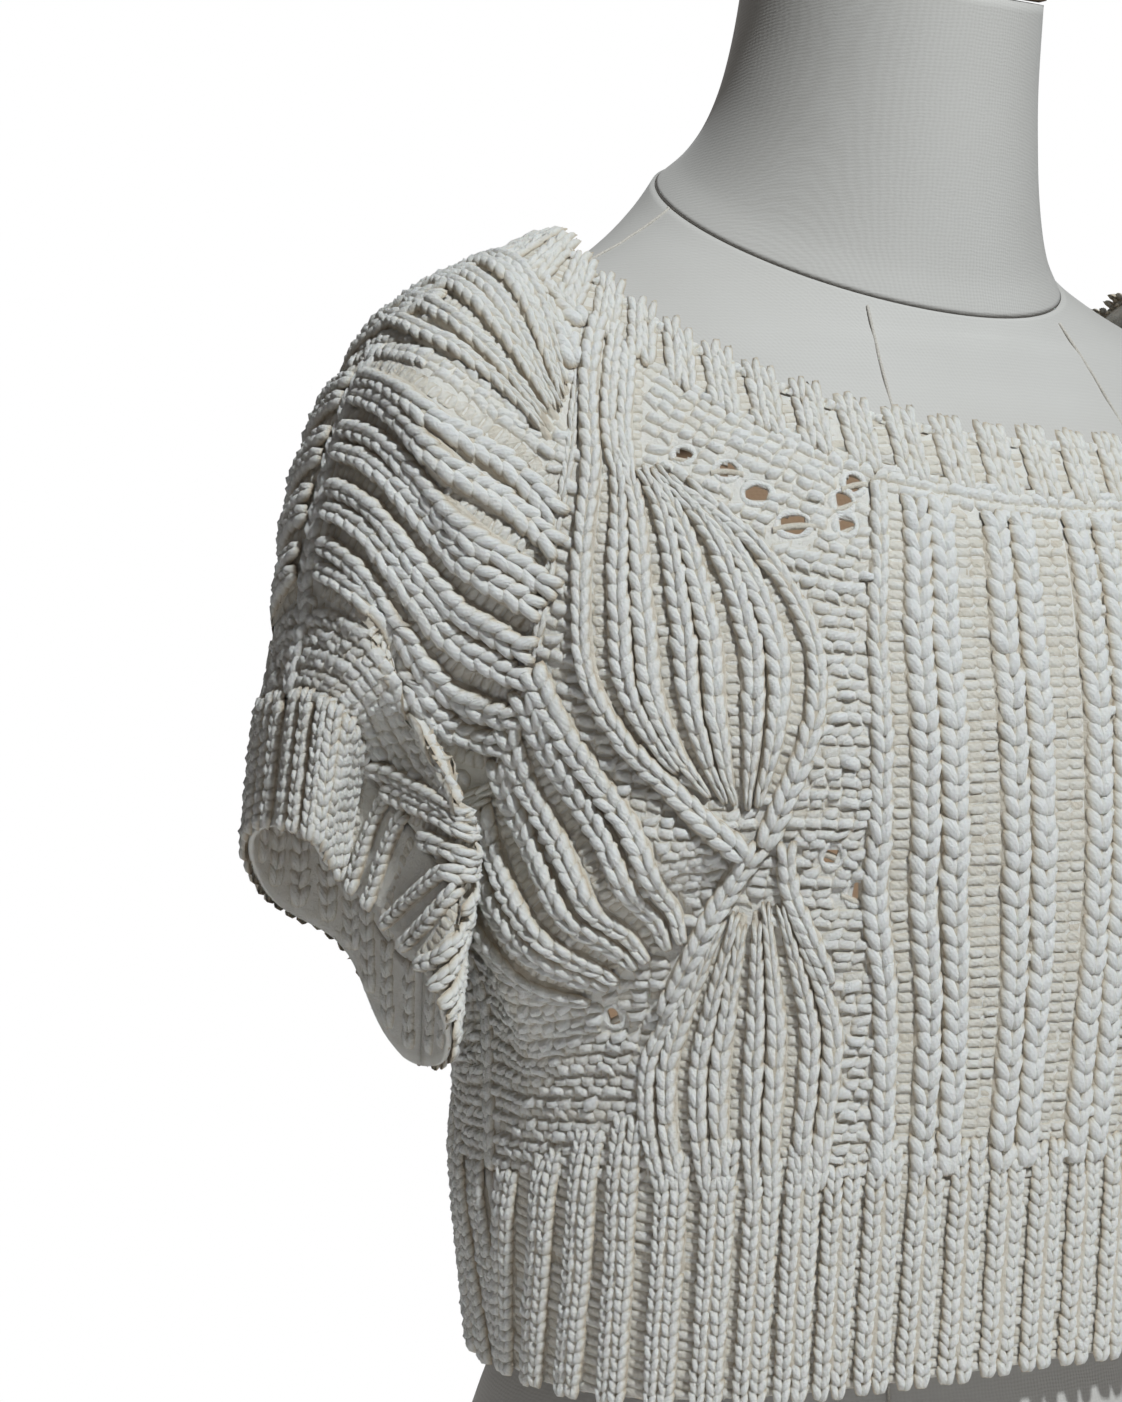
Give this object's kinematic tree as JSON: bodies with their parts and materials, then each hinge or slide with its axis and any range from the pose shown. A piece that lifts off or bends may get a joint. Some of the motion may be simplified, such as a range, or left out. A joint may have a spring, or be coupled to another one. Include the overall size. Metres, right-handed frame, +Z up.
{
  "type": "cropped knit sweater on a dress form",
  "caption": "Cropped short-sleeved chunky knit sweater with leaf-rib lace and ribbed bands, worn on a limbless linen dress form that stands on a flat wooden base",
  "frame": {"origin": "centre of the base's flat underside, on the surface it stands on", "axes": "+Z up, the wearer's front faces -Y, the wearer's left is +X"},
  "size_m": [0.4238, 0.2439, 0.7013],
  "materials": {
    "cream_knit": "matte",
    "form_linen": "matte",
    "form_wood": "satin"
  },
  "bodies": {
    "root": {"front": "cream_knit", "back": "cream_knit", "sleeve_right": "cream_knit", "sleeve_left": "cream_knit", "cuff_right": "cream_knit", "cuff_left": "cream_knit", "neckband": "cream_knit", "hem_front": "cream_knit", "hem_back": "cream_knit", "form_torso": "form_linen", "form_neck": "form_linen", "form_cap": "form_wood", "form_base": "form_wood"}
  },
  "joints": []
}
